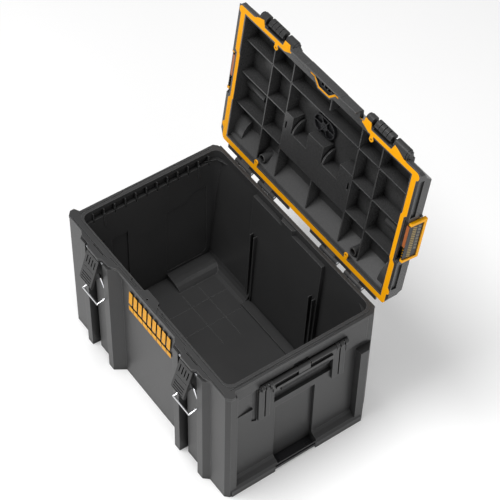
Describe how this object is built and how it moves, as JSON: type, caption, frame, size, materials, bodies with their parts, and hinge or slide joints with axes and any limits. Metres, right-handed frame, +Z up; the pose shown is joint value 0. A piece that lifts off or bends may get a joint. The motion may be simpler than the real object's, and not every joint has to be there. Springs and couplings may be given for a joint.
{
  "type": "toolbox",
  "caption": "Deep rectangular tool box standing open, with a ribbed hinged lid, wire-bail front latches, folding end handles and side stacking latches.",
  "frame": {"origin": "middle of the ground face of the tub, on the ground", "axes": "+X to the right along the front seen from outside, front facing -Y, +Z up; the lid stands open at the back"},
  "size_m": [0.554, 0.4836, 0.6859],
  "materials": {
    "grey_shell": "matte, fine grain",
    "grey_moving": "matte, fine grain",
    "grey_ribs": "matte",
    "black_plastic": "matte",
    "grip_rubber": "matte",
    "yellow_seal": "matte",
    "yellow_plastic": "satin",
    "amber_plastic": "satin",
    "bright_wire": "bright plated",
    "steel": "plain"
  },
  "bodies": {
    "tub": {"tub_shell": "grey_shell", "stacking_bars": "black_plastic", "hinge_rods": "steel", "lever_pins": "steel", "handle_rods": "steel", "handle_bracket_left": "grey_shell", "handle_bracket_right": "grey_shell"},
    "lid": {"lid_shell": "grey_shell", "lid_ribs": "grey_ribs", "lid_seal": "yellow_seal", "lid_catch_left": "grey_moving", "lid_catch_right": "grey_moving", "vent_lattice": "black_plastic", "side_latch_pins": "steel"},
    "lever_left": {"latch_lever_left": "grey_moving"},
    "lever_right": {"latch_lever_right": "grey_moving"},
    "bail_left": {"wire_bail_left": "bright_wire"},
    "bail_right": {"wire_bail_right": "bright_wire"},
    "handle_left": {"side_handle_left": "grey_moving", "handle_grip_left": "grip_rubber"},
    "handle_right": {"side_handle_right": "grey_moving", "handle_grip_right": "grip_rubber"},
    "stack_latch_left": {"side_latch_left": "yellow_plastic", "latch_face_left": "black_plastic", "latch_hook_left": "amber_plastic"},
    "stack_latch_right": {"side_latch_right": "yellow_plastic", "latch_face_right": "black_plastic", "latch_hook_right": "amber_plastic"}
  },
  "joints": [
    {"name": "lid_hinge", "type": "hinge", "parent": "tub", "child": "lid", "pos_m": [0, 0.1785, 0.325], "axis": [1, 0, 0], "range_deg": [0, 97.6]},
    {"name": "lever_pivot_left", "type": "hinge", "parent": "tub", "child": "lever_left", "pos_m": [-0.16, -0.1875, 0.313], "axis": [1, 0, 0], "range_deg": [-71, 0]},
    {"name": "bail_pivot_left", "type": "hinge", "parent": "lever_left", "child": "bail_left", "pos_m": [-0.16, -0.19296, 0.272], "axis": [-1, 0, 0], "range_deg": [-4, 185]},
    {"name": "handle_pivot_left", "type": "hinge", "parent": "tub", "child": "handle_left", "pos_m": [-0.265, 0, 0.289], "axis": [0, 1, 0], "range_deg": [0, 95]},
    {"name": "stack_latch_pivot_left", "type": "hinge", "parent": "lid", "child": "stack_latch_left", "pos_m": [-0.268, 0.21711, 0.50094], "axis": [0, 0.1323, 0.9912], "range_deg": [0, 25], "stiffness_Nm_per_rad": 0.3, "springref_deg": -11.46},
    {"name": "lever_pivot_right", "type": "hinge", "parent": "tub", "child": "lever_right", "pos_m": [0.16, -0.1875, 0.313], "axis": [1, 0, 0], "range_deg": [-71, 0]},
    {"name": "bail_pivot_right", "type": "hinge", "parent": "lever_right", "child": "bail_right", "pos_m": [0.16, -0.19296, 0.272], "axis": [-1, 0, 0], "range_deg": [-4, 185]},
    {"name": "handle_pivot_right", "type": "hinge", "parent": "tub", "child": "handle_right", "pos_m": [0.265, 0, 0.289], "axis": [0, -1, 0], "range_deg": [0, 95]},
    {"name": "stack_latch_pivot_right", "type": "hinge", "parent": "lid", "child": "stack_latch_right", "pos_m": [0.268, 0.21711, 0.50094], "axis": [0, -0.1323, -0.9912], "range_deg": [0, 25], "stiffness_Nm_per_rad": 0.3, "springref_deg": -11.46}
  ]
}
